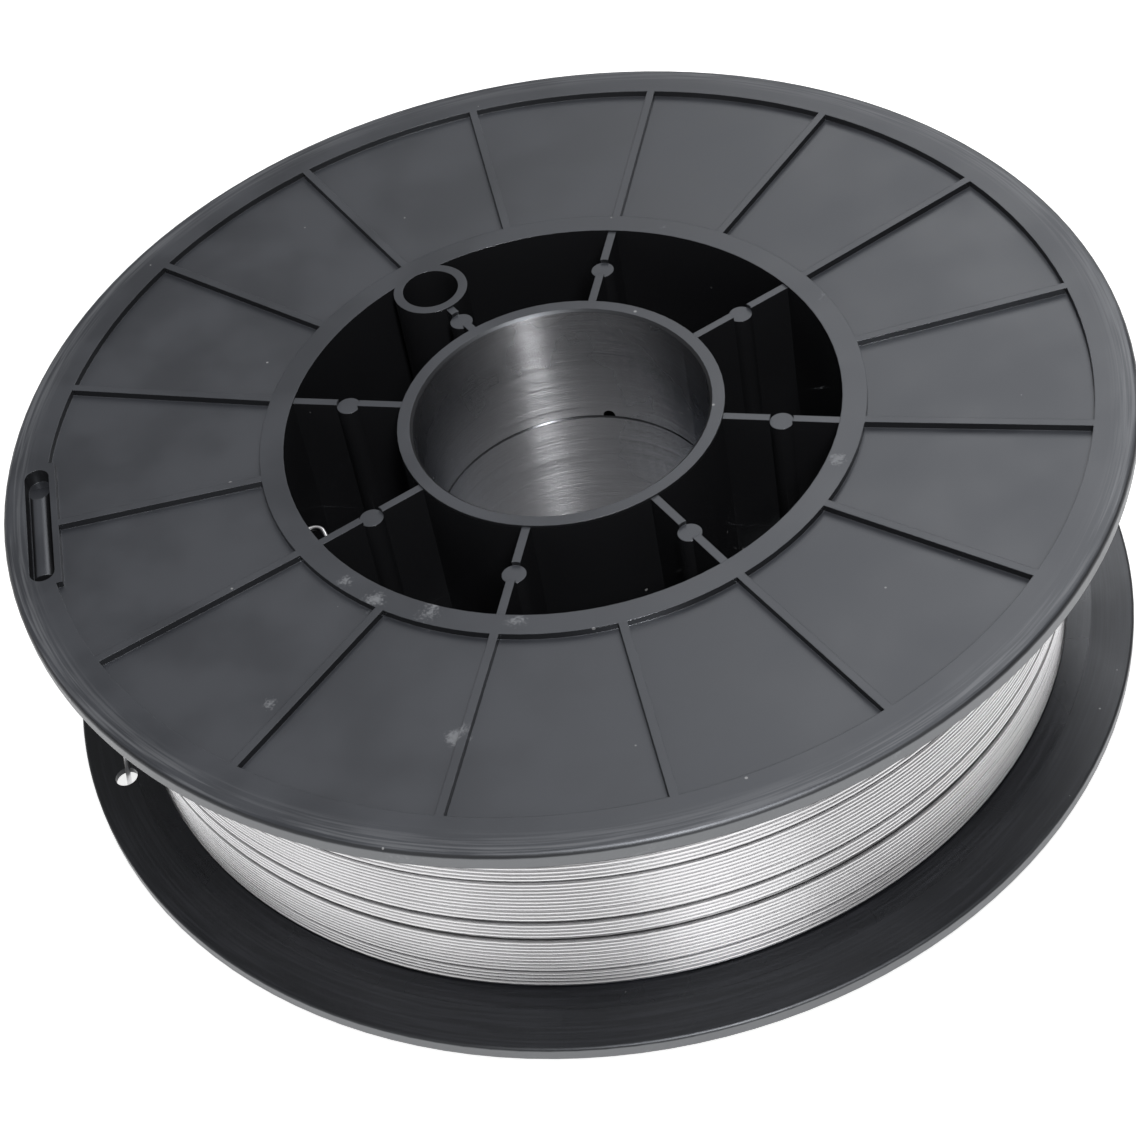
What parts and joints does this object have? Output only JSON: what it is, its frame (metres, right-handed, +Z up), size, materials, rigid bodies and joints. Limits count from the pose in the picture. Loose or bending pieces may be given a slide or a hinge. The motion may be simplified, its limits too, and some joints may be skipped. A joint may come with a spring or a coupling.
{
  "type": "mig welding wire spool",
  "caption": "Flat plastic spool with a ribbed flange each side, a spoked hub with a bore and a drive hole, full of wound bright welding wire.",
  "frame": {"origin": "centre of the base, on the bore's axis, in the plane that the lower rim rests on", "axes": "+Z up the bore's axis, +Y towards the drive hole, +X to the right seen from -Y"},
  "size_m": [0.2, 0.2, 0.055],
  "materials": {
    "spool_plastic": "satin moulded ABS, dark grey",
    "welding_wire": "bright drawn wire, 0.9 mm"
  },
  "bodies": {
    "root": {"upper_half": "spool_plastic", "lower_half": "spool_plastic", "wire_coil": "welding_wire", "wire_tail": "welding_wire", "wire_start": "welding_wire"}
  },
  "joints": []
}
